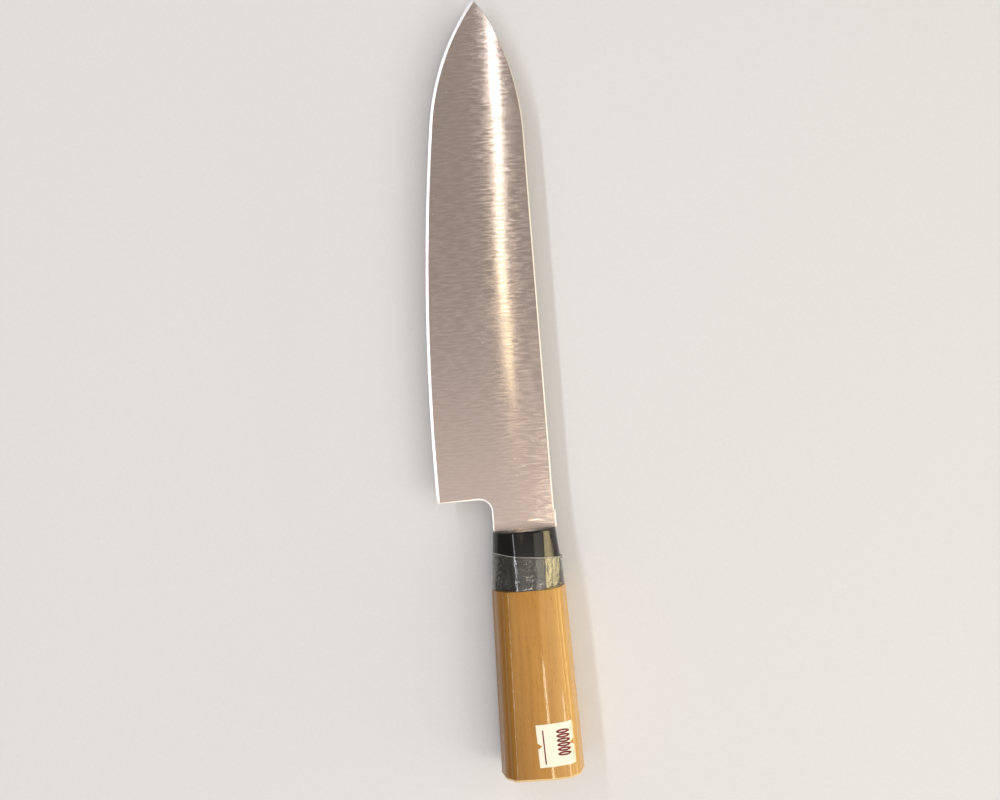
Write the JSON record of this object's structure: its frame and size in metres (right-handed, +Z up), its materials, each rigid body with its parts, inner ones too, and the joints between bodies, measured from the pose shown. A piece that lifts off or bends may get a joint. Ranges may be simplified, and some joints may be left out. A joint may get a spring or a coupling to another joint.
{
  "type": "chef knife",
  "caption": "Chef knife with a flat-ground steel blade, open heel notch, black ferrule and softened octagonal wooden handle, for cutting food by hand.",
  "frame": {"origin": "under the middle of the knife's box, on the surface that the knife lies on with its blade level", "axes": "+Y along the knife from the butt to the tip, +X across the blade from the cutting edge to the spine, +Z up, square to the blade's middle plane"},
  "size_m": [0.053, 0.3254, 0.0259],
  "materials": {
    "blade_steel": "satin, fine scratches from edge to spine",
    "ferrule_plastic": "glossy moulded black",
    "handle_wood": "straight fine grain under a thin clear lacquer",
    "adhesive": "cured epoxy",
    "clear_film": "clear packing film, a little hazy and wrinkled",
    "label_paper": "coated paper with plain red print"
  },
  "bodies": {
    "root": {"blade": "blade_steel", "ferrule": "ferrule_plastic", "handle": "handle_wood", "tang_adhesive": "adhesive", "ferrule_film": "clear_film", "price_label": "label_paper"}
  },
  "joints": []
}
